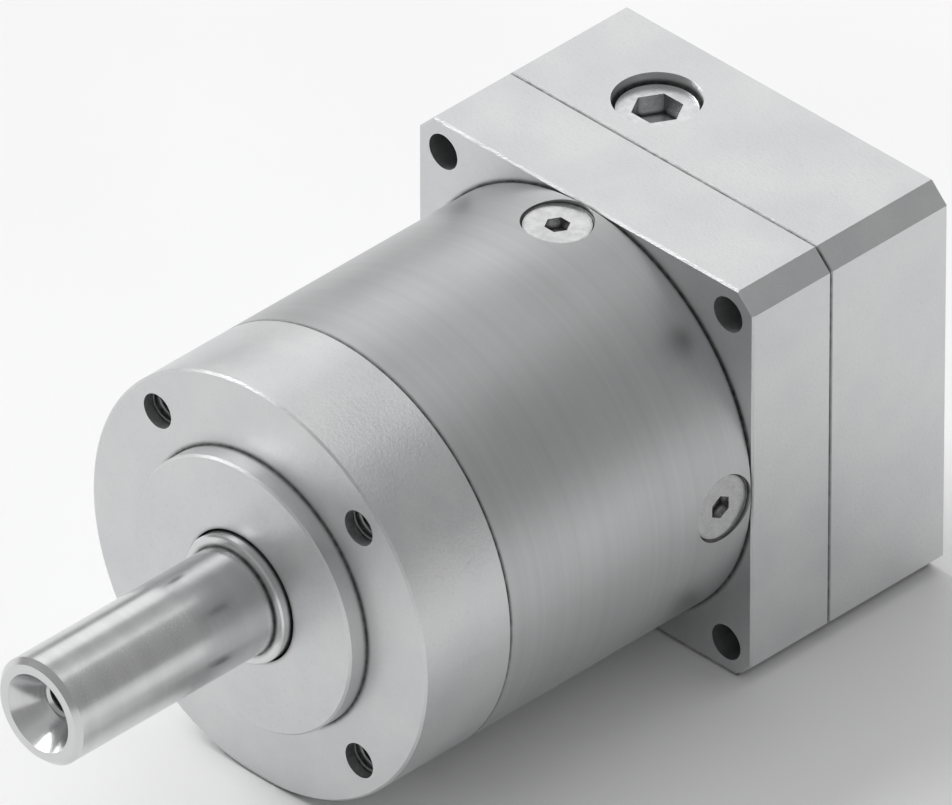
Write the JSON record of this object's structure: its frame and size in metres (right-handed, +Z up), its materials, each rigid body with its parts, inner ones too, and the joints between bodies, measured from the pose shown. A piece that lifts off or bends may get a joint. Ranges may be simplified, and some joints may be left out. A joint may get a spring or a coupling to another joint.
{
  "type": "inline gear reducer",
  "caption": "Inline planetary gear reducer with a plain output shaft, round housing and square motor flange.",
  "frame": {"origin": "on the gearbox axis, in the output mounting face, at the root of the centring spigot", "axes": "-Y along the output shaft, +Y towards the motor, +Z up towards the access plug, +X across"},
  "size_m": [0.04, 0.0885, 0.04],
  "materials": {
    "anodised_aluminium": "natural anodised, fine bead-blasted satin",
    "turned_steel": "fine turned, nickel-coloured",
    "ground_steel": "ground and polished along the turning marks",
    "gear_steel": "case-hardened, ground flanks",
    "bearing_steel": "polished",
    "spring_steel": "phosphated, dark",
    "screw_steel": "stainless, barrel finished",
    "plug_steel": "zinc-plated",
    "seal_rubber": "matt nitrile",
    "cage_polymer": "glass-filled polyamide"
  },
  "bodies": {
    "housing": {"output_housing": "anodised_aluminium", "ring_gear_housing": "turned_steel", "input_flange": "anodised_aluminium", "motor_adapter": "anodised_aluminium", "output_seal": "seal_rubber", "seal_garter_spring": "spring_steel", "front_o_ring": "seal_rubber", "rear_o_ring": "seal_rubber", "bearing_outer_spacer": "bearing_steel", "housing_circlip": "spring_steel", "input_flange_circlip": "spring_steel", "adapter_screws": "screw_steel", "radial_screws": "screw_steel", "output_bearing_front_outer_ring": "bearing_steel", "output_bearing_front_shields": "spring_steel", "output_bearing_rear_outer_ring": "bearing_steel", "output_bearing_rear_shields": "spring_steel", "input_bearing_outer_ring": "bearing_steel", "input_bearing_shields": "spring_steel"},
    "output": {"output_shaft": "ground_steel", "planet_carrier": "turned_steel", "planet_pins": "ground_steel", "front_thrust_washers": "bearing_steel", "rear_thrust_washers": "bearing_steel", "pin_clips": "spring_steel", "shaft_circlip": "spring_steel", "bearing_inner_spacer": "bearing_steel", "output_bearing_front_inner_ring": "bearing_steel", "output_bearing_rear_inner_ring": "bearing_steel"},
    "input": {"input_shaft": "ground_steel", "clamping_ring": "ground_steel", "input_shaft_circlip": "spring_steel", "input_bearing_inner_ring": "bearing_steel"},
    "clamping_screw": {"clamping_screw": "screw_steel"},
    "access_plug": {"access_plug": "plug_steel"},
    "planet_1": {"planet_gear_1": "gear_steel"},
    "needles_1": {"needle_rollers_1": "bearing_steel"},
    "planet_2": {"planet_gear_2": "gear_steel"},
    "needles_2": {"needle_rollers_2": "bearing_steel"},
    "planet_3": {"planet_gear_3": "gear_steel"},
    "needles_3": {"needle_rollers_3": "bearing_steel"},
    "output_bearing_front_cage": {"output_bearing_front_cage": "cage_polymer", "output_bearing_front_balls": "bearing_steel"},
    "output_bearing_rear_cage": {"output_bearing_rear_cage": "cage_polymer", "output_bearing_rear_balls": "bearing_steel"},
    "input_bearing_cage": {"input_bearing_cage": "cage_polymer", "input_bearing_balls": "bearing_steel"}
  },
  "joints": [
    {"name": "output_spin", "type": "hinge", "parent": "housing", "child": "output", "pos_m": [0, 0, 0], "axis": [0, 1, 0], "continuous": true},
    {"name": "input_spin", "type": "hinge", "parent": "housing", "child": "input", "pos_m": [0, 0, 0], "axis": [0, 1, 0], "continuous": true},
    {"name": "planet_1_spin", "type": "hinge", "parent": "output", "child": "planet_1", "pos_m": [0, 0.027, 0.009], "axis": [0, 1, 0], "continuous": true},
    {"name": "needles_1_spin", "type": "hinge", "parent": "output", "child": "needles_1", "pos_m": [0, 0.027, 0.009], "axis": [0, 1, 0], "continuous": true},
    {"name": "planet_2_spin", "type": "hinge", "parent": "output", "child": "planet_2", "pos_m": [0.00779, 0.027, -0.0045], "axis": [0, 1, 0], "continuous": true},
    {"name": "needles_2_spin", "type": "hinge", "parent": "output", "child": "needles_2", "pos_m": [0.00779, 0.027, -0.0045], "axis": [0, 1, 0], "continuous": true},
    {"name": "planet_3_spin", "type": "hinge", "parent": "output", "child": "planet_3", "pos_m": [-0.00779, 0.027, -0.0045], "axis": [0, 1, 0], "continuous": true},
    {"name": "needles_3_spin", "type": "hinge", "parent": "output", "child": "needles_3", "pos_m": [-0.00779, 0.027, -0.0045], "axis": [0, 1, 0], "continuous": true},
    {"name": "output_bearing_front_cage_spin", "type": "hinge", "parent": "housing", "child": "output_bearing_front_cage", "pos_m": [0, 0, 0], "axis": [0, 1, 0], "continuous": true},
    {"name": "output_bearing_rear_cage_spin", "type": "hinge", "parent": "housing", "child": "output_bearing_rear_cage", "pos_m": [0, 0, 0], "axis": [0, 1, 0], "continuous": true},
    {"name": "input_bearing_cage_spin", "type": "hinge", "parent": "housing", "child": "input_bearing_cage", "pos_m": [0, 0, 0], "axis": [0, 1, 0], "continuous": true},
    {"name": "access_plug_unscrew", "type": "slide", "parent": "housing", "child": "access_plug", "axis": [0, 0, 1], "range_m": [0, 0.012]},
    {"name": "clamping_screw_turn", "type": "hinge", "parent": "input", "child": "clamping_screw", "pos_m": [-0.00668, 0.0544, 0.002], "axis": [0, 0, 1], "range_deg": [0, 360]}
  ],
  "couplings": [
    {"joint": "input_spin", "follows": "output_spin", "ratio": 5},
    {"joint": "planet_1_spin", "follows": "output_spin", "ratio": -2.6667},
    {"joint": "needles_1_spin", "follows": "output_spin", "ratio": -1.6},
    {"joint": "planet_2_spin", "follows": "output_spin", "ratio": -2.6667},
    {"joint": "needles_2_spin", "follows": "output_spin", "ratio": -1.6},
    {"joint": "planet_3_spin", "follows": "output_spin", "ratio": -2.6667},
    {"joint": "needles_3_spin", "follows": "output_spin", "ratio": -1.6},
    {"joint": "output_bearing_front_cage_spin", "follows": "output_spin", "ratio": 0.41181},
    {"joint": "output_bearing_rear_cage_spin", "follows": "output_spin", "ratio": 0.41181},
    {"joint": "input_bearing_cage_spin", "follows": "output_spin", "ratio": 2.0897}
  ]
}
